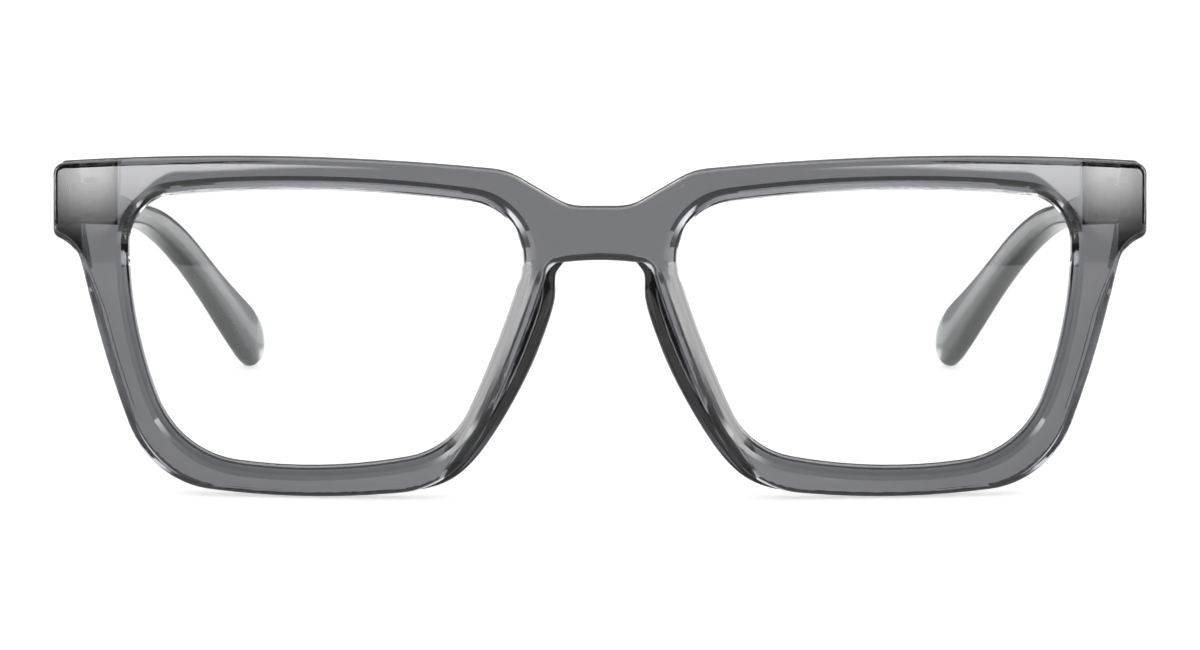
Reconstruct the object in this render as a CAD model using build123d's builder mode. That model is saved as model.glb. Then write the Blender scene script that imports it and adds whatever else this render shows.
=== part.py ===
# Square acetate eyeglasses, open, standing on the rims' lower edges and the temple tips.
# X is across the face, the front looks towards -Y, the temples run back along +Y, Z is up.
# The origin is on the floor, under the middle of the open pair.
import os
from math import asin, degrees, sqrt

from build123d import *

# Lenses and bridge, as an optician measures them
lens_width = 52.0
lens_height = 37.1
bridge_width = 18.0
overall_depth = 150.0
end_reach = 9.2

# Front: both faces are bowed about the same centres, one behind each eye
front_radius = 160.0
bow_centre = 18.0
front_thickness = 4.0
rim_width = 4.0
rim_bottom = 3.08
front_edge_round = 0.95
back_edge_round = 0.6

# Lens outline: corners and bulges as shares of the lens's width and height
nasal_top_shares = (-0.044, 0.922)
temporal_top_shares = (0.994, 0.955)
temporal_bottom_shares = (0.866, 0.047)
nasal_bottom_shares = (0.182, 0.070)
lens_top_bulge_share = 0.0446
lens_bottom_bulge_share = 0.0423
lens_temporal_bulge_share = 0.0717
lens_nasal_bulge_share = 0.0256
lens_nasal_top_radius = 8.3
lens_temporal_top_radius = 7.3
lens_temporal_bottom_radius = 13.2
lens_nasal_bottom_radius = 11.4

# Lens body and its seat in the rim
lens_thickness = 1.8
lens_setback = 1.45
lens_bevel = 0.55
groove_depth = 0.85
opening_bevel = 1.4
opening_ring = 0.35
opening_back_bevel = 0.35

# Rim corners outside the lens corners, in shares of the rim width: across, up
rim_temporal_bottom_shares = (0.93, -0.79)
rim_nasal_bottom_shares = (0.01, -1.05)
rim_bottom_radius = 12.5
rim_bottom_bulge_share = 0.0302
rim_temporal_bulge_share = 0.0228
rim_nasal_bulge_share = 0.024
rim_top_bulge_share = 0.0271

# Bridge: a low flat between two sloping shoulders
bridge_drop = 2.95
bridge_height = 6.7
bridge_flat = 7.9
shoulder_reach = 2.8
shoulder_rise = 1.6
shoulder_outer_radius = 8.5
shoulder_inner_radius = 6.4
bridge_arch = 0.55
bridge_root_width = 12.8
bridge_root_radius = 2.2

# End piece: the square outer corner that carries the hinge
end_rise = 2.0
end_height = 9.3
end_corner_radius = 1.6
end_heel_radius = 1.3
end_heel = 3.3
end_heel_drop = 1.35
end_throat_radius = 4.8
end_block_width = 8.7
end_block_height = 8.0
end_block_depth = 16.0
end_side_wall = 4.0
end_block_round = 0.45
end_block_drop = 0.8

# Temples
temple_thickness = 4.0
temple_gap = 0.15
temple_butt_height = 7.7
temple_butt_drop = 0.8
temple_top_fall_share = 0.149
temple_bottom_fall_share = 0.091
temple_drop_length = 38.15
temple_bend_radius = 90.0
temple_tip_radius = 4.82
temple_tip_thickness = 3.0
temple_straight = 50.0
temple_curl_radius = 246.0
temple_edge_round = 1.3

# Nose pads, with corners as shares of the lens's width and height
pad_top_shares = (-0.0731, 0.696)
pad_knee_shares = (0.0962, 0.100)
pad_foot_shares = (0.202, -0.032)
pad_inner_top_shares = (0.0058, 0.650)
pad_inner_foot_shares = (0.127, 0.133)
pad_bulge_share = 0.035
pad_inner_bulge_share = 0.022
pad_setback = 1.3
pad_depth = 8.0
pad_splay = 10.0
pad_corner_radius = 0.9
pad_foot_radius = 0.75
pad_round = 0.7

# Hinges: five barrels, three on the front leaf and two on the temple leaf
barrel_radius = 1.25
barrel_gap = 0.05
barrel_count = 5
hinge_height = 4.4
hinge_drop = 5.35
hinge_clearance = 0.15
leaf_thickness = 1.2
front_leaf_width = 4.0
temple_leaf_length = 7.0
leaf_corner = 0.5
screw_radius = 0.6
screw_clearance = 0.05
screw_head_radius = 1.05
screw_head_height = 0.5
screw_slot_width = 0.25
screw_slot_depth = 0.25
screw_head_round = 0.15

# One overrun for every cut
overrun = 1.0

# How near an edge must lie to count as touching, and where along it that is looked at
touch = 0.001
edge_sample_shares = (0.1, 0.5, 0.9)

# Places worked out from the sizes above
lens_inner_x = bridge_width / 2
lens_bottom_z = rim_bottom
lens_top_z = lens_bottom_z + lens_height
bow_z = lens_bottom_z + lens_height / 2
front_y = -overall_depth / 2
bow_y = front_y + front_radius
end_x = lens_inner_x + lens_width + end_reach
end_top_z = lens_top_z + end_rise
butt_y = front_y + end_block_depth
bridge_top_z = lens_top_z - bridge_drop
bridge_bottom_z = bridge_top_z - bridge_height
temple_inner_x = end_x - temple_thickness
hinge_x = temple_inner_x - barrel_radius - hinge_clearance
hinge_y = butt_y + barrel_radius + hinge_clearance
hinge_z = end_top_z - hinge_drop


def lens_point(shares):
    """A corner of the lens outline from its shares of the lens's box."""
    return (lens_inner_x + shares[0] * lens_width, lens_bottom_z + shares[1] * lens_height)


def beyond(point, shares):
    """A rim corner, outside a lens corner by shares of the rim width."""
    return (point[0] + shares[0] * rim_width, point[1] + shares[1] * rim_width)


def nearest(shapes, point):
    """The vertex of a sketch that lies nearest to a point of its outline."""
    return shapes.sort_by_distance(Vector(*point))[0]


nasal_top = lens_point(nasal_top_shares)
temporal_top = lens_point(temporal_top_shares)
temporal_bottom = lens_point(temporal_bottom_shares)
nasal_bottom = lens_point(nasal_bottom_shares)
rim_temporal_bottom = beyond(temporal_bottom, rim_temporal_bottom_shares)
rim_nasal_bottom = beyond(nasal_bottom, rim_nasal_bottom_shares)
shoulder = (lens_inner_x + shoulder_reach, lens_top_z + shoulder_rise)
end_top = (end_x, end_top_z)
end_bottom = (end_x, end_top_z - end_height)
end_throat = (end_x - end_heel, end_bottom[1] - end_heel_drop)
bridge_shoulder = (bridge_flat / 2, bridge_top_z)
bridge_root = (bridge_root_width / 2, bridge_bottom_z - bridge_arch)
pad_top = lens_point(pad_top_shares)
pad_knee = lens_point(pad_knee_shares)
pad_foot = lens_point(pad_foot_shares)
pad_inner_top = lens_point(pad_inner_top_shares)
pad_inner_foot = lens_point(pad_inner_foot_shares)

# The four bulging sides of a lens, before its corners are rounded
with BuildSketch(Plane.XZ) as lens_sides:
    with BuildLine():
        SagittaArc(nasal_top, temporal_top, lens_top_bulge_share * lens_width)
        SagittaArc(temporal_top, temporal_bottom, lens_temporal_bulge_share * lens_height)
        SagittaArc(temporal_bottom, nasal_bottom, lens_bottom_bulge_share * lens_width)
        SagittaArc(nasal_bottom, nasal_top, lens_nasal_bulge_share * lens_height)
    make_face()

lens_corners = (
    (nasal_top, lens_nasal_top_radius),
    (temporal_top, lens_temporal_top_radius),
    (temporal_bottom, lens_temporal_bottom_radius),
    (nasal_bottom, lens_nasal_bottom_radius),
)

# Lens outline, which is also the bottom of the groove
with BuildSketch(Plane.XZ) as lens_outline:
    add(lens_sides.sketch_local)
    for corner, radius in lens_corners:
        fillet(nearest(lens_outline.vertices(), corner), radius)

# Opening outline: the lip in front of and behind the groove
with BuildSketch(Plane.XZ.offset(-butt_y)) as opening_outline:
    offset(lens_sides.sketch_local, amount=-groove_depth, kind=Kind.INTERSECTION)
    for corner, radius in lens_corners:
        fillet(nearest(opening_outline.vertices(), corner), radius - groove_depth)
    mirror(about=Plane.YZ)


def placed(point, side):
    """A point of the right half, or its mirror image."""
    return (side * point[0], point[1])


# Front outline: one closed line through both rims, the bridge and the end pieces
half_corners = (
    (bridge_shoulder, shoulder_inner_radius),
    (shoulder, shoulder_outer_radius),
    (end_top, end_corner_radius),
    (end_bottom, end_heel_radius),
    (end_throat, end_throat_radius),
    (rim_temporal_bottom, rim_bottom_radius),
    (rim_nasal_bottom, rim_bottom_radius),
    (bridge_root, bridge_root_radius),
)
with BuildSketch(Plane.XZ.offset(-butt_y)) as front_outline:
    with BuildLine():
        Line(bridge_shoulder, shoulder)
        SagittaArc(shoulder, end_top, rim_top_bulge_share * lens_width)
        Line(end_top, end_bottom)
        Line(end_bottom, end_throat)
        SagittaArc(end_throat, rim_temporal_bottom, rim_temporal_bulge_share * lens_height)
        SagittaArc(rim_temporal_bottom, rim_nasal_bottom, rim_bottom_bulge_share * lens_width)
        SagittaArc(rim_nasal_bottom, bridge_root, rim_nasal_bulge_share * lens_height)
        mirror(about=Plane.YZ)
        Line(placed(bridge_shoulder, -1), bridge_shoulder)
        ThreePointArc(bridge_root, (0, bridge_bottom_z), placed(bridge_root, -1))
    make_face()
    for side in (1, -1):
        for corner, radius in half_corners:
            fillet(nearest(front_outline.vertices(), placed(corner, side)), radius)


def bowed_solid(radius):
    """The solid behind a bowed face: a flat-nosed barrel about the line through both centres."""
    with BuildPart() as bowed:
        with BuildSketch(Plane.XY.offset(bow_z)):
            with BuildLine():
                CenterArc((bow_centre, bow_y), radius, 0, 90)
                Line((bow_centre, bow_y + radius), (-bow_centre, bow_y + radius))
                CenterArc((-bow_centre, bow_y), radius, 90, 90)
                Line((-bow_centre - radius, bow_y), (bow_centre + radius, bow_y))
            make_face()
        revolve(axis=Axis((0, bow_y, bow_z), (1, 0, 0)))
    return bowed.part


def bow_distance(point):
    """How far a point lies from the line through both bow centres."""
    across = max(abs(point.X) - bow_centre, 0)
    return sqrt(across**2 + (point.Y - bow_y) ** 2 + (point.Z - bow_z) ** 2)


def lies_on_bow(edge, radius):
    """Whether an edge runs along a bowed face and isn't the joint between its two curvatures."""
    box = edge.bounding_box()
    joint = box.size.X < touch and abs(abs(box.center().X) - bow_centre) < touch
    samples = (edge.position_at(share) for share in edge_sample_shares)
    return not joint and all(abs(bow_distance(p) - radius) < touch for p in samples)


rim_margin = opening_bevel + opening_ring - groove_depth


def faces_lens(edge, margin):
    """Whether an edge lies within a margin of a lens outline."""
    middle = edge.position_at(edge_sample_shares[1])
    flat = Vertex(abs(middle.X), 0, middle.Z)
    return lens_outline.sketch.distance_to(flat) < margin


def follows_outline(edge):
    """Whether an edge lies over the outside line of the front."""
    middle = edge.position_at(edge_sample_shares[1])
    return front_outline.sketch.wires()[0].distance_to(Vertex(middle.X, butt_y, middle.Z)) < touch


def opening_edges(edges, radius, margin):
    """The edges of a bowed face that run round the lens openings."""
    return [e for e in edges if lies_on_bow(e, radius) and faces_lens(e, margin)]


def outer_edges(edges, radius):
    """The edges of a bowed face that follow the outside of the front."""
    return [e for e in edges if lies_on_bow(e, radius) and follows_outline(e)]


def seen_from_back(point):
    """A point of the left half as drawn on a plane that faces backwards."""
    return (-point[0], point[1])


# End blocks: the outline's outer ends carried back to the temples, to hold the hinges
block_x = end_x - end_block_width
wall_x = end_x - end_side_wall
block_z = end_top_z - end_block_height
wall_z = end_throat[1] - end_block_height
with BuildPart() as end_blocks:
    with BuildSketch(Plane.XZ.offset(-butt_y)):
        with BuildLine():
            Polyline(
                (block_x, end_top_z + overrun),
                (end_x + overrun, end_top_z + overrun),
                (end_x + overrun, wall_z),
                (wall_x, wall_z),
                (wall_x, block_z),
                (block_x, block_z),
                close=True,
            )
        make_face()
        mirror(about=Plane.YZ)
    extrude(amount=end_block_depth)
    extrude(front_outline.sketch, amount=end_block_depth, mode=Mode.INTERSECT)
    lower_outline = front_outline.sketch.moved(Location((0, 0, -end_block_drop)))
    extrude(lower_outline, amount=end_block_depth, mode=Mode.INTERSECT)
    add(bowed_solid(front_radius - front_thickness / 2), mode=Mode.INTERSECT)
    uprights = end_blocks.edges().filter_by(Axis.Z)
    fillet([e for e in uprights if abs(abs(e.center().X) - block_x) < touch], end_block_round)

# Lens, left: a curved shell whose bevelled edge sits in the rim's groove
with BuildPart() as lens_left:
    extrude(lens_outline.sketch, amount=-front_y + overrun)
    with Locations((bow_centre, bow_y, bow_z)):
        Sphere(front_radius - lens_setback, mode=Mode.INTERSECT)
        Sphere(front_radius - lens_setback - lens_thickness, mode=Mode.SUBTRACT)
    chamfer(lens_left.edges().filter_by(Axis.Y, reverse=True), lens_bevel)

# Front hinge leaf, left: a plate sunk in the end block, carrying three barrels
hinge_floor_z = hinge_z - hinge_height / 2
hinge_top_z = hinge_z + hinge_height / 2
barrel_height = (hinge_height - (barrel_count - 1) * barrel_gap) / barrel_count
barrel_floors = [hinge_floor_z + i * (barrel_height + barrel_gap) for i in range(barrel_count)]
barrel_width = barrel_radius + barrel_radius
bore_radius = screw_radius + screw_clearance

with BuildPart() as front_leaf_plate:
    with BuildSketch(Plane.XZ.offset(-butt_y)):
        with Locations((hinge_x + barrel_radius - front_leaf_width / 2, hinge_z)):
            RectangleRounded(front_leaf_width, hinge_height, leaf_corner)
    extrude(amount=leaf_thickness)

with BuildPart() as front_leaf_left:
    add(front_leaf_plate.part)
    for floor in barrel_floors[::2]:
        with BuildSketch(Plane.XY.offset(floor)):
            with Locations((hinge_x, hinge_y)):
                Circle(barrel_radius)
            with Locations((hinge_x, butt_y)):
                Rectangle(barrel_width, hinge_y - butt_y, align=(Align.CENTER, Align.MIN))
        extrude(amount=barrel_height)
    with BuildSketch(Plane.XY.offset(hinge_floor_z)):
        with Locations((hinge_x, hinge_y)):
            Circle(screw_radius)
    extrude(amount=hinge_height, mode=Mode.SUBTRACT)
    with BuildSketch(Plane.XY.offset(barrel_floors[1])):
        with Locations((hinge_x, hinge_y)):
            Circle(bore_radius)
    extrude(amount=hinge_height, mode=Mode.SUBTRACT)

# Temple hinge leaf, left: a longer plate sunk in the temple, carrying two barrels
arm_y = butt_y + temple_gap
with BuildPart() as temple_leaf_plate:
    with BuildSketch(Plane.YZ.offset(temple_inner_x)) as temple_leaf_outline:
        with Locations((arm_y, hinge_z)):
            Rectangle(temple_leaf_length, hinge_height, align=(Align.MIN, Align.CENTER))
        fillet(temple_leaf_outline.vertices().group_by(Axis.X)[-1], leaf_corner)
    extrude(amount=leaf_thickness)

with BuildPart() as temple_leaf_left:
    add(temple_leaf_plate.part)
    for floor in barrel_floors[1::2]:
        with BuildSketch(Plane.XY.offset(floor)):
            with Locations((hinge_x, hinge_y)):
                Circle(barrel_radius)
                Rectangle(temple_inner_x - hinge_x, barrel_width, align=(Align.MIN, Align.CENTER))
        extrude(amount=barrel_height)
    with BuildSketch(Plane.XY.offset(hinge_floor_z)):
        with Locations((hinge_x, hinge_y)):
            Circle(bore_radius)
    extrude(amount=hinge_height, mode=Mode.SUBTRACT)

# Hinge screw, left: threaded home in the lowest barrel, its slotted head on the top one
with BuildPart() as hinge_screw_left:
    with BuildSketch(Plane.XY.offset(hinge_floor_z)):
        with Locations((hinge_x, hinge_y)):
            Circle(screw_radius)
    extrude(amount=hinge_height)
    with BuildSketch(Plane.XY.offset(hinge_top_z)):
        with Locations((hinge_x, hinge_y)):
            Circle(screw_head_radius)
    extrude(amount=screw_head_height)
    fillet(hinge_screw_left.edges().group_by(Axis.Z)[-1], screw_head_round)
    with Locations((hinge_x, hinge_y, hinge_top_z + screw_head_height)):
        Box(
            screw_head_radius + screw_head_radius,
            screw_slot_width,
            screw_slot_depth,
            align=(Align.CENTER, Align.CENTER, Align.MAX),
            mode=Mode.SUBTRACT,
        )

# Front frame: the outline cut from a bowed sheet, with the end blocks left thick
front_back_radius = front_radius - front_thickness
with BuildPart() as front_frame:
    extrude(front_outline.sketch, amount=end_block_depth + overrun)
    add(bowed_solid(front_radius), mode=Mode.INTERSECT)
    add(bowed_solid(front_back_radius), mode=Mode.SUBTRACT)
    extrude(opening_outline.sketch, amount=end_block_depth + overrun, mode=Mode.SUBTRACT)
    chamfer(opening_edges(front_frame.edges(), front_radius, touch), opening_bevel)
    chamfer(opening_edges(front_frame.edges(), front_radius, rim_margin), opening_ring)
    fillet(outer_edges(front_frame.edges(), front_radius), front_edge_round)
    chamfer(opening_edges(front_frame.edges(), front_back_radius, touch), opening_back_bevel)
    fillet(outer_edges(front_frame.edges(), front_back_radius), back_edge_round)
    add(end_blocks.part)
    for cutter in (lens_left.part, front_leaf_plate.part):
        add(cutter, mode=Mode.SUBTRACT)
        mirror(cutter, about=Plane.YZ, mode=Mode.SUBTRACT)

# Nose pad, left: bonded against the rim's nose side and back face
with BuildPart() as nose_pad_left:
    with BuildSketch(Plane.back.offset(front_y + pad_setback)) as pad_outline:
        with BuildLine():
            nose_side = SagittaArc(
                seen_from_back(pad_knee),
                seen_from_back(pad_top),
                -pad_bulge_share * lens_height,
            )
            TangentArc(nose_side @ 0, seen_from_back(pad_foot), tangent=-(nose_side % 0))
            Line(seen_from_back(pad_top), seen_from_back(pad_inner_top))
            SagittaArc(
                seen_from_back(pad_inner_top),
                seen_from_back(pad_inner_foot),
                pad_inner_bulge_share * lens_height,
            )
            Line(seen_from_back(pad_inner_foot), seen_from_back(pad_foot))
        make_face()
        for corner, radius in (
            (pad_top, pad_corner_radius),
            (pad_inner_top, pad_corner_radius),
            (pad_inner_foot, pad_corner_radius),
            (pad_foot, pad_foot_radius),
        ):
            fillet(nearest(pad_outline.vertices(), seen_from_back(corner)), radius)
    extrude(amount=pad_depth, dir=Vector(0, 1, 0).rotate(Axis.Z, -pad_splay))
    fillet(nose_pad_left.edges().group_by(Axis.Y)[-1], pad_round)
    fillet(nose_pad_left.edges().group_by(Axis.Y)[0], pad_round)
    add(front_frame.part, mode=Mode.SUBTRACT)
    add(lens_left.part, mode=Mode.SUBTRACT)

# Temple, left: a flat bar bent down behind the ear, curled in and thinned towards the tip
tip_centre = Vector(overall_depth / 2 - temple_tip_radius, temple_tip_radius)
arm_top = Vector(arm_y, end_top_z - temple_butt_drop)
arm_bottom = arm_top - Vector(0, temple_butt_height)
bend_reach = overall_depth / 2 - temple_drop_length - arm_y
top_bend = arm_top + Vector(bend_reach, -temple_top_fall_share * bend_reach)
bottom_bend = arm_bottom + Vector(bend_reach, -temple_bottom_fall_share * bend_reach)


def tip_touch(bend, side):
    """Where a straight edge from a bend meets the round of the tip, above or below its centre."""
    away = tip_centre - bend
    swing = side * degrees(asin(temple_tip_radius / away.length))
    reach = sqrt(away.length**2 - temple_tip_radius**2)
    return bend + away.rotate(Axis.Z, swing).normalized() * reach


tip_end = tip_centre + (tip_centre - (top_bend + bottom_bend) / 2).normalized() * temple_tip_radius
curl_y = arm_y + temple_straight
curl_length = overall_depth / 2 - curl_y
inner_fall = temple_curl_radius - sqrt(temple_curl_radius**2 - curl_length**2)
outer_fall = inner_fall + temple_thickness - temple_tip_thickness
outer_curl_radius = (curl_length**2 / outer_fall + outer_fall) / 2


def curl(start_x, radius):
    """One side of the curl, seen from above: an arc that leaves the straight and passes the tip."""
    angle = degrees(asin((curl_length + overrun) / radius))
    return CenterArc((start_x - radius, curl_y), radius, 0, angle)


with BuildPart() as temple_left:
    with BuildSketch(Plane.YZ) as temple_side:
        with BuildLine():
            Polyline(
                tip_touch(top_bend, 1),
                top_bend,
                arm_top,
                arm_bottom,
                bottom_bend,
                tip_touch(bottom_bend, -1),
            )
            ThreePointArc(tip_touch(top_bend, 1), tip_end, tip_touch(bottom_bend, -1))
        make_face()
        fillet(nearest(temple_side.vertices(), top_bend), temple_bend_radius)
        fillet(nearest(temple_side.vertices(), bottom_bend), temple_bend_radius)
    extrude(amount=end_x + overrun)
    with BuildSketch(Plane.XY.offset(-overrun)):
        with BuildLine():
            inner_curl = curl(temple_inner_x, temple_curl_radius)
            outer_curl = curl(end_x, outer_curl_radius)
            Line(inner_curl @ 1, outer_curl @ 1)
            Polyline(inner_curl @ 0, (temple_inner_x, arm_y), (end_x, arm_y), outer_curl @ 0)
        make_face()
    extrude(amount=overrun + end_top_z, mode=Mode.INTERSECT)
    long_edges = temple_left.edges().filter_by(Axis.X, reverse=True).filter_by(Axis.Z, reverse=True)
    fillet(long_edges, temple_edge_round)
    add(temple_leaf_plate.part, mode=Mode.SUBTRACT)

# The right-hand pieces are mirror images
with BuildPart() as lens_right:
    mirror(lens_left.part, about=Plane.YZ)
with BuildPart() as nose_pad_right:
    mirror(nose_pad_left.part, about=Plane.YZ)
with BuildPart() as front_leaf_right:
    mirror(front_leaf_left.part, about=Plane.YZ)
with BuildPart() as temple_leaf_right:
    mirror(temple_leaf_left.part, about=Plane.YZ)
with BuildPart() as hinge_screw_right:
    mirror(hinge_screw_left.part, about=Plane.YZ)
with BuildPart() as temple_right:
    mirror(temple_left.part, about=Plane.YZ)

os.makedirs("parts", exist_ok=True)
for name, piece in (
    ("front_frame", front_frame),
    ("lens_left", lens_left),
    ("lens_right", lens_right),
    ("nose_pad_left", nose_pad_left),
    ("nose_pad_right", nose_pad_right),
    ("front_leaf_left", front_leaf_left),
    ("front_leaf_right", front_leaf_right),
    ("temple_leaf_left", temple_leaf_left),
    ("temple_leaf_right", temple_leaf_right),
    ("hinge_screw_left", hinge_screw_left),
    ("hinge_screw_right", hinge_screw_right),
    ("temple_left", temple_left),
    ("temple_right", temple_right),
):
    piece.part.label = name
    export_step(piece.part, f"parts/{name}.step")
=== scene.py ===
import math
from itertools import combinations

import bmesh
import bpy
from mathutils import Matrix, Vector, kdtree


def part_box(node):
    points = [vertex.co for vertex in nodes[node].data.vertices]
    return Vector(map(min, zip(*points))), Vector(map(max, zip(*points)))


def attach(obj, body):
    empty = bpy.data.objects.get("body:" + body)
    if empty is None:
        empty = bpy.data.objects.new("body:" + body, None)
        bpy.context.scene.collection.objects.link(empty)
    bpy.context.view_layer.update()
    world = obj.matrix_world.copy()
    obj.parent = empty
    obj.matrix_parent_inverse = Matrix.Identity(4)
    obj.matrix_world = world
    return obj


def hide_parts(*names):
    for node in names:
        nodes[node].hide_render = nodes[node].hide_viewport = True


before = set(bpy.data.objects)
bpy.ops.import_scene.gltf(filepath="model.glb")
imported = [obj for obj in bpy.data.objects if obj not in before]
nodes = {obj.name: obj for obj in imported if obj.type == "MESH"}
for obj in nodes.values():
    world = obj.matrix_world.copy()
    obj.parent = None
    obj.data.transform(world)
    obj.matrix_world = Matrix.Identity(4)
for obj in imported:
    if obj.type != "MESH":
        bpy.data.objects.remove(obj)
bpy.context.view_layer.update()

# Camera: a long lens in front of the glasses and a little above them, looking slightly down, so
# that both temples show through the lenses. The photograph is 1200 by 650.
FRONT_FACE_Y = -0.075
CAMERA_DISTANCE = 0.655
CAMERA_HEIGHT = 0.09472
CAMERA_TILT = math.radians(6.3)
CAMERA_FOCAL = 155.96
CAMERA_SENSOR = 36
CAMERA_NEAR = 0.01
CAMERA_FAR = 50

camera_data = bpy.data.cameras.new("camera")
camera_data.lens = CAMERA_FOCAL
camera_data.sensor_width = CAMERA_SENSOR
camera_data.clip_start = CAMERA_NEAR
camera_data.clip_end = CAMERA_FAR
camera = bpy.data.objects.new("camera", camera_data)
camera.location = (0, FRONT_FACE_Y - CAMERA_DISTANCE, CAMERA_HEIGHT)
camera.rotation_euler = (math.pi / 2 - CAMERA_TILT, 0, 0)
bpy.context.scene.collection.objects.link(camera)
bpy.context.scene.camera = camera
bpy.context.scene.view_settings.view_transform = "Standard"

# Front: one milled and tumbled sheet of translucent grey acetate, 4 mm thick, with both rims,
# the saddle bridge and the end pieces. It is bent to its bow after milling, so the rims' outer
# walls lean in with the bow, and a shallow bevel runs round each opening.
ACETATE_TINT = (0.20, 0.205, 0.24)
ACETATE_IOR = 1.49
ACETATE_CLOUDS = 90
CLOUD_DETAIL = 4
CLOUD_SPREAD = (0.35, 0.65)
FRONT_DENSITY = 560
FRONT_POLISH = (0.01, 0.03)
BOW_RADIUS = 0.160
BOW_CENTRE_X = 0.018
BOW_CENTRE_Y = 0.085
BOW_CENTRE_Z = 0.02163
FACE_REACH = 0.00001
JOIN_REACH = 0.0000002
# The bevel's inner lip lies between two depths under the bowed face, and stands up along the top
LIP_LOW = 0.00125
LIP_HIGH = 0.00143
LIP_RAISE = 0.0010
LIP_START = 0.0350
LIP_FULL = 0.0385
# The lean grows outwards from the lip, and fades out up the rim, where the end pieces begin
LEAN_START = 0.0012
LEAN_FULL = 0.0032
LEAN_TOP = 0.032
LEAN_BELOW = 0.022


def material(name):
    """A new node material with a Principled shader joined to its output."""
    made = bpy.data.materials.new(name)
    made.use_nodes = True
    tree = made.node_tree
    tree.nodes.clear()
    output = tree.nodes.new("ShaderNodeOutputMaterial")
    shader = tree.nodes.new("ShaderNodeBsdfPrincipled")
    tree.links.new(shader.outputs["BSDF"], output.inputs["Surface"])
    return made, tree, shader


def wear(tree, shader, clouds, polish):
    """Uneven polish: a cloudy noise that moves the roughness between two values."""
    place = tree.nodes.new("ShaderNodeTexCoord")
    cloud = tree.nodes.new("ShaderNodeTexNoise")
    cloud.inputs["Scale"].default_value = clouds
    cloud.inputs["Detail"].default_value = CLOUD_DETAIL
    spread = tree.nodes.new("ShaderNodeMapRange")
    spread.inputs["From Min"].default_value = CLOUD_SPREAD[0]
    spread.inputs["From Max"].default_value = CLOUD_SPREAD[1]
    spread.inputs["To Min"].default_value = polish[0]
    spread.inputs["To Max"].default_value = polish[1]
    tree.links.new(place.outputs["Object"], cloud.inputs["Vector"])
    tree.links.new(cloud.outputs["Fac"], spread.inputs["Value"])
    tree.links.new(spread.outputs["Result"], shader.inputs["Roughness"])


def clear_plastic(name, ior, tint, density):
    """A clear plastic whose colour comes from the depth that the light crosses."""
    made, tree, shader = material(name)
    output = shader.outputs["BSDF"].links[0].to_node
    shader.inputs["Base Color"].default_value = (1, 1, 1, 1)
    shader.inputs["Transmission Weight"].default_value = 1
    shader.inputs["IOR"].default_value = ior
    depth = tree.nodes.new("ShaderNodeVolumeAbsorption")
    depth.inputs["Color"].default_value = (*tint, 1)
    depth.inputs["Density"].default_value = density
    tree.links.new(depth.outputs["Volume"], output.inputs["Volume"])
    return made, tree, shader


def acetate(name, density, polish):
    """Grey acetate with its own depth of colour and polish."""
    made, tree, shader = clear_plastic(name, ACETATE_IOR, ACETATE_TINT, density)
    wear(tree, shader, ACETATE_CLOUDS, polish)
    return made


def bow_out(place):
    """The way from the bow's centre line to a point."""
    across = max(-BOW_CENTRE_X, min(BOW_CENTRE_X, place.x))
    return place - Vector((across, BOW_CENTRE_Y, BOW_CENTRE_Z))


def merged(mesh):
    """Joins the loose triangles of the front, smooth as they were and round on its bowed face."""
    places = [vert.co for vert in mesh.vertices]
    shading = []
    for face in mesh.polygons:
        corners = [places[number] for number in face.vertices]
        if min((one - other).length for one, other in combinations(corners, 2)) < JOIN_REACH:
            continue
        depths = [abs(BOW_RADIUS - bow_out(corner).length) for corner in corners]
        bowed = max(depths) < FACE_REACH
        for corner, loop in zip(corners, face.loop_indices):
            normal = bow_out(corner) if bowed else mesh.corner_normals[loop].vector
            shading.append(tuple(normal.normalized()))
    shape = bmesh.new()
    shape.from_mesh(mesh)
    bmesh.ops.remove_doubles(shape, verts=shape.verts, dist=JOIN_REACH)
    shape.to_mesh(mesh)
    shape.free()
    mesh.normals_split_custom_set(shading)


def smooth_step(value, start, end):
    """0 before the start, 1 after the end and a smooth rise between them."""
    share = max(0.0, min(1.0, (value - start) / (end - start)))
    return share * share * (3 - 2 * share)


def stand_in(name, mesh, made, body, node):
    """The piece that is seen in place of a carried-over node."""
    mesh.name = name
    mesh.materials.clear()
    mesh.materials.append(made)
    piece = bpy.data.objects.new(name, mesh)
    bpy.context.scene.collection.objects.link(piece)
    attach(piece, body)
    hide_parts(node)
    return piece


front_acetate = acetate("front_acetate", FRONT_DENSITY, FRONT_POLISH)
front_mesh = nodes["front_frame"].data.copy()
lip_tree = kdtree.KDTree(len(front_mesh.vertices))
for number, vert in enumerate(front_mesh.vertices):
    if LIP_LOW < BOW_RADIUS - bow_out(vert.co).length < LIP_HIGH:
        lip_tree.insert((vert.co.x, 0, vert.co.z), number)
lip_tree.balance()
for vert in front_mesh.vertices:
    out = bow_out(vert.co)
    depth = BOW_RADIUS - out.length
    clear_of_lip = lip_tree.find((vert.co.x, 0, vert.co.z))[2]
    if LIP_LOW < depth < LIP_HIGH:
        vert.co.y -= LIP_RAISE * smooth_step(vert.co.z, LIP_START, LIP_FULL)
    lean = smooth_step(clear_of_lip, LEAN_START, LEAN_FULL)
    lean *= smooth_step(-vert.co.z, -LEAN_TOP, -LEAN_BELOW)
    vert.co.x += lean * depth * out.x / out.y
merged(front_mesh)
stand_in("front_milled", front_mesh, front_acetate, "front", "front_frame")

# Nose pads: ribs of the same acetate bonded behind the rims' nose side, turned and polished with
# the front, so that each swells out of the bridge's root and tapers away under the rim.
PAD_DENSITY = 800
PAD_POLISH = (0.04, 0.10)
PAD_SPLAY = math.radians(10)
PAD_SIDES = 16
PAD_PROUD = 0.00008
PAD_FULLNESS = 0.7
PAD_ROUNDING = 2
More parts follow.
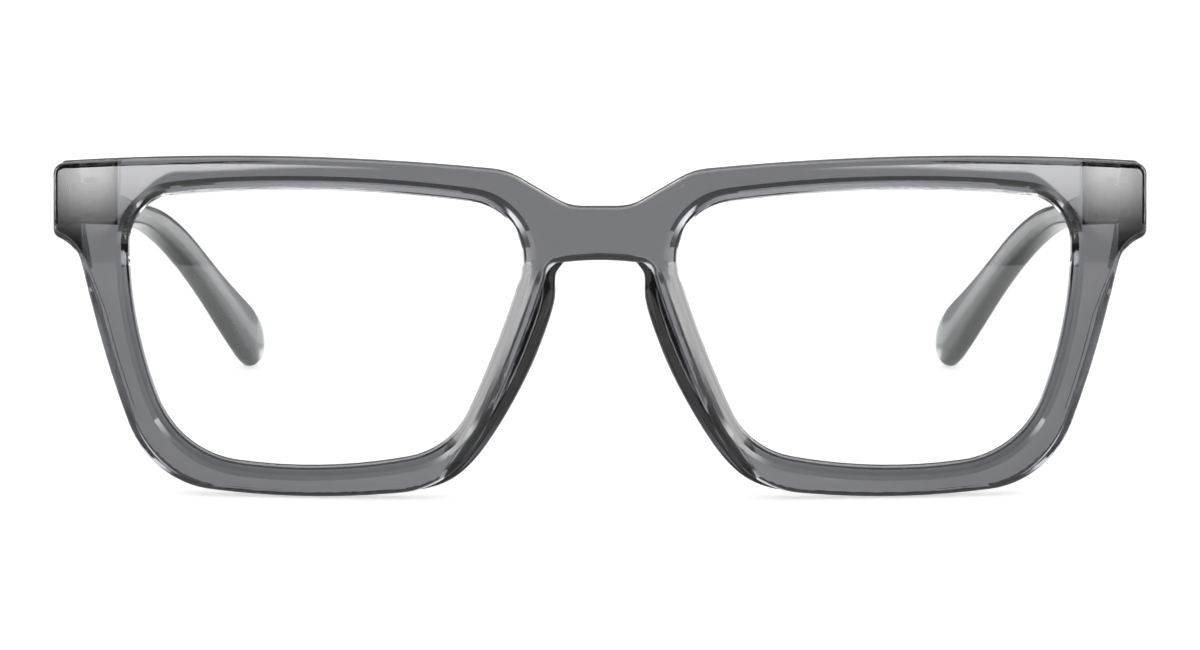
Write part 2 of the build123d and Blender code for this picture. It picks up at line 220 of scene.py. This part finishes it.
# A station is a place on the pad's nose edge, x and z, with the half thickness, half depth and
# middle's depth behind the face that the pad has there
PAD_STATIONS = (
    (0.00440, 0.03040, 0.00045, 0.0009, 0.0019),
    (0.00530, 0.02960, 0.00075, 0.0015, 0.0024),
    (0.00585, 0.02850, 0.00105, 0.0022, 0.0031),
    (0.00575, 0.02700, 0.00130, 0.0031, 0.0039),
    (0.00580, 0.02530, 0.00145, 0.0037, 0.0044),
    (0.00675, 0.02220, 0.00150, 0.0041, 0.0048),
    (0.00840, 0.01780, 0.00150, 0.0042, 0.0049),
    (0.01050, 0.01350, 0.00145, 0.0041, 0.0048),
    (0.01290, 0.00930, 0.00140, 0.0038, 0.0045),
    (0.01530, 0.00570, 0.00130, 0.0031, 0.0039),
    (0.01740, 0.00340, 0.00105, 0.0023, 0.0032),
    (0.01950, 0.00200, 0.00070, 0.0015, 0.0025),
    (0.02160, 0.00130, 0.00035, 0.0009, 0.0020),
    (0.02330, 0.00095, 0.00012, 0.0004, 0.0017),
)


def face_y(x, z):
    """Where the front's bowed face lies."""
    across = max(abs(x) - BOW_CENTRE_X, 0)
    return BOW_CENTRE_Y - math.sqrt(BOW_RADIUS ** 2 - across ** 2 - (z - BOW_CENTRE_Z) ** 2)


def placed(centre, across, up, along):
    """A matrix from its three columns and its place."""
    place = Matrix((across, up, along)).transposed().to_4x4()
    place.translation = centre
    return place


def ring(shape, sides, fullness, place):
    """A closed outline between an ellipse, at a fullness of 1, and a box, at 0."""
    made = bmesh.ops.create_circle(shape, segments=sides, radius=1)["verts"]
    for vert in made:
        vert.co.x = math.copysign(abs(vert.co.x) ** fullness, vert.co.x)
        vert.co.y = math.copysign(abs(vert.co.y) ** fullness, vert.co.y)
    bmesh.ops.transform(shape, matrix=place, verts=made)
    return list({edge for vert in made for edge in vert.link_edges})


def skinned(shape, rings, sides, mirror):
    """A smooth closed mesh from each outline to the next, turned over for the right side."""
    for before, after in zip(rings, rings[1:]):
        bmesh.ops.bridge_loops(shape, edges=before + after)
    for end in (rings[0], rings[-1]):
        bmesh.ops.holes_fill(shape, edges=end, sides=sides)
    bmesh.ops.scale(shape, vec=(mirror, 1, 1), verts=shape.verts)
    bmesh.ops.recalc_face_normals(shape, faces=shape.faces)
    mesh = bpy.data.meshes.new("skinned")
    shape.to_mesh(mesh)
    shape.free()
    mesh.shade_smooth()
    return mesh


def pad_ring(shape, number):
    """One station's rounded outline, square to the pad's nose edge."""
    x, z, wide, deep, behind = PAD_STATIONS[number]
    before = PAD_STATIONS[max(number - 1, 0)]
    after = PAD_STATIONS[min(number + 1, len(PAD_STATIONS) - 1)]
    along = Vector((after[0] - before[0], 0, after[1] - before[1])).normalized()
    noseward = Vector((along.z, 0, -along.x))
    back = Vector((0, 1, 0))
    across = noseward * math.cos(PAD_SPLAY) + back * math.sin(PAD_SPLAY)
    inward = back * math.cos(PAD_SPLAY) - noseward * math.sin(PAD_SPLAY)
    reach = math.hypot(wide * math.cos(PAD_SPLAY), deep * math.sin(PAD_SPLAY))
    centre = Vector((x, 0, z)) - noseward * (reach - PAD_PROUD)
    centre.y = face_y(centre.x, centre.z) + behind
    place = placed(centre, across * wide, inward * deep, along)
    return ring(shape, PAD_SIDES, PAD_FULLNESS, place)


pad_acetate = acetate("pad_acetate", PAD_DENSITY, PAD_POLISH)
for side, mirror in (("left", 1), ("right", -1)):
    shape = bmesh.new()
    rings = [pad_ring(shape, number) for number in range(len(PAD_STATIONS))]
    mesh = skinned(shape, rings, PAD_SIDES, mirror)
    name = f"nose_pad_polished_{side}"
    pad = stand_in(name, mesh, pad_acetate, "front", f"nose_pad_{side}")
    rounding = pad.modifiers.new("rounding", "SUBSURF")
    rounding.levels = PAD_ROUNDING
    rounding.render_levels = PAD_ROUNDING

# Temples: bars of the same acetate with a satin polish, bent down behind the ear and curled in,
# squarer at the hinge and worn round at the tip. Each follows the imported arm, section by section.
TEMPLE_DENSITY = 560
TEMPLE_POLISH = (0.10, 0.18)
TEMPLE_CREASE = math.radians(60)
ARM_STEP = 0.003
ARM_SIDES = 24
ARM_START = 0.00002
ARM_JOIN = 0.000001
HINGE_FULLNESS = 0.45
TIP_FULLNESS = 0.85
TIP_TURNS = [math.radians(turn) for turn in (15, 30, 45, 58, 70, 80, 87)]


def section(solid, place, along):
    """The middle, half width, half height and two directions of an arm's section."""
    piece = solid.copy()
    parts = piece.verts[:] + piece.edges[:] + piece.faces[:]
    cut = bmesh.ops.bisect_plane(piece, geom=parts, plane_co=place, plane_no=along)["geom_cut"]
    up = Vector((1, 0, 0)).cross(along).normalized()
    across = along.cross(up)
    corners = [item.co - place for item in cut if isinstance(item, bmesh.types.BMVert)]
    wide = [corner.dot(across) for corner in corners]
    high = [corner.dot(up) for corner in corners]
    piece.free()
    centre = place + across * (min(wide) + max(wide)) / 2 + up * (min(high) + max(high)) / 2
    return centre, (max(wide) - min(wide)) / 2, (max(high) - min(high)) / 2, across, up


def temple_mesh(mirror):
    """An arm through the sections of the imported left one, with a round tip."""
    solid = bmesh.new()
    solid.from_mesh(nodes["temple_left"].data)
    bmesh.ops.remove_doubles(solid, verts=solid.verts, dist=ARM_JOIN)
    low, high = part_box("temple_left")
    along = Vector((0, 1, 0))
    place = Vector(((low[0] + high[0]) / 2, low[1] + ARM_START, (low[2] + high[2]) / 2))
    cuts = []
    while True:
        centre, wide, tall, across, up = section(solid, place, along)
        to_tip = max((vert.co - centre).dot(along) for vert in solid.verts)
        cuts.append((centre, wide, tall, across, up, along))
        if to_tip < tall + ARM_STEP:
            break
        if len(cuts) > 1:
            along = (centre - cuts[-2][0]).normalized()
        place = centre + along * ARM_STEP
    solid.free()
    shape = bmesh.new()
    rings = []
    for number, (centre, wide, tall, across, up, along) in enumerate(cuts):
        share = number / (len(cuts) - 1)
        fullness = HINGE_FULLNESS + (TIP_FULLNESS - HINGE_FULLNESS) * share
        place = placed(centre, across * wide, up * tall, along)
        rings.append(ring(shape, ARM_SIDES, fullness, place))
    for turn in TIP_TURNS:
        far = centre + along * (to_tip - tall + tall * math.sin(turn))
        shrink = math.cos(turn)
        place = placed(far, across * wide * math.sqrt(shrink), up * tall * shrink, along)
        rings.append(ring(shape, ARM_SIDES, TIP_FULLNESS, place))
    mesh = skinned(shape, rings, ARM_SIDES, mirror)
    mesh.set_sharp_from_angle(angle=TEMPLE_CREASE)
    return mesh


temple_acetate = acetate("temple_acetate", TEMPLE_DENSITY, TEMPLE_POLISH)
for side, mirror in (("left", 1), ("right", -1)):
    mesh = temple_mesh(mirror)
    name = f"temple_polished_{side}"
    stand_in(name, mesh, temple_acetate, f"temple_{side}_body", f"temple_{side}")

# Lenses: clear resin, faintly green in depth, with an anti-reflection coat. Each is edged to its
# opening and snaps into the groove, with a hair of air round it, so that its edge shows.
LENS_TINT = (0.35, 0.88, 0.80)
LENS_DENSITY = 25
LENS_IOR = 1.5
LENS_GLINT = 0.15
LENS_CLOUDS = 60
LENS_POLISH = (0.0, 0.004)
LENS_GAP = 0.00004
LENS_JOIN = 0.000001
LENS_CREASE = math.radians(25)
lens_clear, lens_tree, lens_shader = clear_plastic("lens_clear", LENS_IOR, LENS_TINT, LENS_DENSITY)
lens_shader.inputs["Specular IOR Level"].default_value = LENS_GLINT
wear(lens_tree, lens_shader, LENS_CLOUDS, LENS_POLISH)
for side in ("left", "right"):
    lens_mesh = nodes[f"lens_{side}"].data.copy()
    shape = bmesh.new()
    shape.from_mesh(lens_mesh)
    bmesh.ops.remove_doubles(shape, verts=shape.verts, dist=LENS_JOIN)
    shape.normal_update()
    for vert in shape.verts:
        vert.co -= vert.normal * LENS_GAP
    shape.to_mesh(lens_mesh)
    shape.free()
    lens_mesh.attributes.remove(lens_mesh.attributes["custom_normal"])
    lens_mesh.set_sharp_from_angle(angle=LENS_CREASE)
    stand_in(f"lens_clear_{side}", lens_mesh, lens_clear, "front", f"lens_{side}")

# Hinges: five-barrel nickel-silver leaves, three barrels on the front's and two on the temple's,
# sunk in the acetate. Each pair turns on a slotted steel screw, and all are finely brushed.
METAL_CLOUDS = 2500
HINGE_COLOUR = (0.62, 0.62, 0.63)
HINGE_POLISH = (0.25, 0.4)
SCREW_COLOUR = (0.70, 0.70, 0.71)
SCREW_POLISH = (0.15, 0.25)


def metal(name, colour, polish):
    """Bare metal with an uneven polish."""
    made, tree, shader = material(name)
    shader.inputs["Base Color"].default_value = (*colour, 1)
    shader.inputs["Metallic"].default_value = 1
    wear(tree, shader, METAL_CLOUDS, polish)
    return made


def dress(node, made):
    """Gives a carried-over piece its finish."""
    slots = nodes[node].data.materials
    slots.clear()
    slots.append(made)


hinge_metal = metal("hinge_metal", HINGE_COLOUR, HINGE_POLISH)
screw_metal = metal("screw_metal", SCREW_COLOUR, SCREW_POLISH)
for side in ("left", "right"):
    dress(f"front_leaf_{side}", hinge_metal)
    dress(f"temple_leaf_{side}", hinge_metal)
    dress(f"hinge_screw_{side}", screw_metal)

# Floor: a wide white table top that keeps the shadow. To the camera its glow lifts it towards
# white, through clear plastic less, and in gloss only where it is seen along: a painted sheen,
# whose glow grows from a steep view to a grazing one.
FLOOR_HALF = 6.0
FLOOR_DROP = 0.0002
FLOOR_COLOUR = (0.85, 0.85, 0.85)
FLOOR_ROUGHNESS = 0.7
FLOOR_LIFT = 0.55
FLOOR_THROUGH = 0.7
# Painted sheen: its glow's share when the floor is seen steeply, and the reach of facing over which
# it grows to full
FLOOR_STEEP = 0.15
FLOOR_PAINTED_SHEEN = (0.35, 0.65)


def maths(tree, operation, first, second=0.0):
    """One sum on two values or outputs of a tree's nodes."""
    node = tree.nodes.new("ShaderNodeMath")
    node.operation = operation
    for slot, value in enumerate((first, second)):
        if isinstance(value, (int, float)):
            node.inputs[slot].default_value = value
        else:
            tree.links.new(value, node.inputs[slot])
    return node.outputs[0]


def ramp(tree, value, reach, low, high):
    """A smooth step from one level to another over a reach of values."""
    node = tree.nodes.new("ShaderNodeMapRange")
    node.interpolation_type = "SMOOTHSTEP"
    node.inputs["From Min"].default_value = reach[0]
    node.inputs["From Max"].default_value = reach[1]
    node.inputs["To Min"].default_value = low
    node.inputs["To Max"].default_value = high
    tree.links.new(value, node.inputs["Value"])
    return node.outputs["Result"]


def most(tree, *levels):
    """The highest of several levels."""
    highest = levels[0]
    for level in levels[1:]:
        highest = maths(tree, "MAXIMUM", highest, level)
    return highest


floor_mesh = bpy.data.meshes.new("floor")
shape = bmesh.new()
bmesh.ops.create_grid(shape, x_segments=1, y_segments=1, size=FLOOR_HALF)
shape.to_mesh(floor_mesh)
shape.free()
floor = bpy.data.objects.new("floor", floor_mesh)
floor.location = (0, 0, -FLOOR_DROP)
bpy.context.scene.collection.objects.link(floor)
floor_white, floor_tree, floor_shader = material("floor_white")
floor_shader.inputs["Base Color"].default_value = (*FLOOR_COLOUR, 1)
floor_shader.inputs["Roughness"].default_value = FLOOR_ROUGHNESS
floor_shader.inputs["Emission Color"].default_value = (1, 1, 1, 1)
floor_rays = floor_tree.nodes.new("ShaderNodeLightPath").outputs
floor_facing = floor_tree.nodes.new("ShaderNodeLayerWeight").outputs["Facing"]
# Painted sheen: the floor's glow grows from a steep view to a grazing one, in place of real gloss
floor_painted_sheen = ramp(floor_tree, floor_facing, FLOOR_PAINTED_SHEEN, FLOOR_STEEP, 1.0)
floor_through = maths(floor_tree, "MULTIPLY", floor_rays["Is Transmission Ray"], FLOOR_THROUGH)
floor_level = most(floor_tree, floor_rays["Is Camera Ray"], floor_painted_sheen, floor_through)
floor_seen = most(
    floor_tree,
    floor_rays["Is Camera Ray"],
    floor_rays["Is Glossy Ray"],
    floor_rays["Is Transmission Ray"],
)
floor_level = maths(floor_tree, "MULTIPLY", floor_seen, floor_level)
floor_glow = maths(floor_tree, "MULTIPLY", floor_level, FLOOR_LIFT)
floor_tree.links.new(floor_glow, floor_shader.inputs["Emission Strength"])
floor_mesh.materials.append(floor_white)

# Surround: a plain even light for the object, white to the camera and through clear plastic. Its
# gloss shows a dim room with a soft bright panel either side of the camera, one at each side, two
# behind and a ceiling light behind the glasses.
SURROUND_LIGHT = 0.55
CLEAR_LIGHT = 1.0
CAMERA_LIGHT = 1.0
ROOM_LIGHT = 0.2
# Each panel lies between two soft edges in height, as a share of straight up, and two in turn,
# in radians from straight ahead
FRONT_PANEL_LIGHT = 10.0
FRONT_PANEL_EDGE = (0.0, 0.008)
FRONT_PANEL_TOP = (0.28, 0.40)
FRONT_PANEL_START = (0.09, 0.23)
FRONT_PANEL_END = (0.71, 0.85)
# The front panels' lower edge comes down round to the side, and their light grows upwards
FRONT_EDGE_TURN = (0.25, 0.62)
FRONT_EDGE_NEAR = 0.172
FRONT_EDGE_FAR = 0.150
FRONT_DROP_TURN = (0.54, 0.74)
FRONT_DROP = 0.15
FRONT_GROWTH = (0.015, 0.16)
FRONT_GROWTH_POWER = 1.3
FRONT_BRIGHT_TURN = (0.645, 0.69)
FRONT_BRIGHT = 1.5
SIDE_PANEL_LIGHT = 8.0
SIDE_PANEL_FOOT = (-0.10, 0.05)
SIDE_PANEL_TOP = (0.50, 0.70)
SIDE_PANEL_START = (1.31, 1.48)
SIDE_PANEL_END = (1.75, 1.92)
BACK_PANEL_LIGHT = 4.0
BACK_PANEL_FOOT = (0.05, 0.20)
BACK_PANEL_TOP = (0.50, 0.70)
BACK_PANEL_START = (2.30, 2.45)
BACK_PANEL_END = (2.85, 3.00)
CEILING_LIGHT = 2.2
CEILING_EDGE = (0.60, 0.80)
CEILING_FRONT = (-0.1, 0.1)

world = bpy.data.worlds.new("surround")
world.use_nodes = True
bpy.context.scene.world = world
world_tree = world.node_tree
world_tree.nodes.clear()
world_rays = world_tree.nodes.new("ShaderNodeLightPath").outputs
world_place = world_tree.nodes.new("ShaderNodeTexCoord")
world_axes = world_tree.nodes.new("ShaderNodeSeparateXYZ")
world_tree.links.new(world_place.outputs["Generated"], world_axes.inputs["Vector"])
rise = world_axes.outputs["Z"]
toward = maths(world_tree, "MULTIPLY", world_axes.outputs["Y"], -1.0)
turned = maths(world_tree, "ARCTAN2", world_axes.outputs["X"], toward)
swing = maths(world_tree, "ABSOLUTE", turned)


def sky_product(first, *others):
    """Several levels multiplied together."""
    for other in others:
        first = maths(world_tree, "MULTIPLY", first, other)
    return first


def inside(value, start, end):
    """1 between two soft edges and 0 outside them."""
    return sky_product(ramp(world_tree, value, start, 0, 1), ramp(world_tree, value, end, 1, 0))


def sky_swap(level, other, ray):
    """One level, or another on one kind of ray."""
    gap = maths(world_tree, "SUBTRACT", other, level)
    return maths(world_tree, "ADD", level, maths(world_tree, "MULTIPLY", gap, world_rays[ray]))


front_edge = maths(
    world_tree,
    "SUBTRACT",
    ramp(world_tree, swing, FRONT_EDGE_TURN, FRONT_EDGE_NEAR, FRONT_EDGE_FAR),
    ramp(world_tree, swing, FRONT_DROP_TURN, 0.0, FRONT_DROP),
)
above_edge = maths(world_tree, "SUBTRACT", rise, front_edge)
growth = ramp(world_tree, rise, FRONT_GROWTH, 0, 1)
front_panel = sky_product(
    ramp(world_tree, above_edge, FRONT_PANEL_EDGE, 0, 1),
    maths(world_tree, "POWER", growth, FRONT_GROWTH_POWER),
    ramp(world_tree, rise, FRONT_PANEL_TOP, 1, 0),
    inside(swing, FRONT_PANEL_START, FRONT_PANEL_END),
    ramp(world_tree, swing, FRONT_BRIGHT_TURN, 1, FRONT_BRIGHT),
    FRONT_PANEL_LIGHT,
)
side_panel = sky_product(
    inside(rise, SIDE_PANEL_FOOT, SIDE_PANEL_TOP),
    inside(swing, SIDE_PANEL_START, SIDE_PANEL_END),
    SIDE_PANEL_LIGHT,
)
back_panel = sky_product(
    inside(rise, BACK_PANEL_FOOT, BACK_PANEL_TOP),
    inside(swing, BACK_PANEL_START, BACK_PANEL_END),
    BACK_PANEL_LIGHT,
)
ceiling = sky_product(
    ramp(world_tree, rise, CEILING_EDGE, 0, 1),
    ramp(world_tree, toward, CEILING_FRONT, 1, 0),
    CEILING_LIGHT,
)
gloss = ROOM_LIGHT
for part in (ceiling, front_panel, side_panel, back_panel):
    gloss = maths(world_tree, "ADD", gloss, part)
strength = sky_swap(SURROUND_LIGHT, CLEAR_LIGHT, "Is Transmission Ray")
strength = sky_swap(strength, gloss, "Is Glossy Ray")
strength = sky_swap(strength, CAMERA_LIGHT, "Is Camera Ray")
world_white = world_tree.nodes.new("ShaderNodeBackground")
world_white.inputs["Color"].default_value = (1, 1, 1, 1)
world_tree.links.new(strength, world_white.inputs["Strength"])
world_output = world_tree.nodes.new("ShaderNodeOutputWorld")
world_tree.links.new(world_white.outputs[0], world_output.inputs["Surface"])

# Lamps: a broad softbox either side of the camera and above it, turned to the front of the
# glasses. Together they give an even light with soft shadows.
LAMP_AIM = Vector((0, -0.07, 0.03))
LAMP_REACH = 1.5
LAMP_TURN = math.radians(30)
LAMP_RISE = math.radians(35)
LAMP_WIDE = 2 * LAMP_REACH * math.tan(math.radians(20))
LAMP_HIGH = 2 * LAMP_REACH * math.tan(math.radians(15))
LAMP_WATTS = 3.0
for name, turn in (("softbox_left", LAMP_TURN), ("softbox_right", -LAMP_TURN)):
    lamp_data = bpy.data.lights.new(name, "AREA")
    lamp_data.shape = "RECTANGLE"
    lamp_data.size = LAMP_WIDE
    lamp_data.size_y = LAMP_HIGH
    lamp_data.energy = LAMP_WATTS * LAMP_WIDE * LAMP_HIGH
    ahead = math.cos(LAMP_RISE)
    away = Vector((math.sin(turn) * ahead, -math.cos(turn) * ahead, math.sin(LAMP_RISE)))
    lamp = bpy.data.objects.new(name, lamp_data)
    lamp.location = LAMP_AIM + away * LAMP_REACH
    lamp.rotation_mode = "QUATERNION"
    lamp.rotation_quaternion = away.to_track_quat("Z", "Y")
    lamp.visible_camera = False
    lamp.visible_glossy = False
    bpy.context.scene.collection.objects.link(lamp)
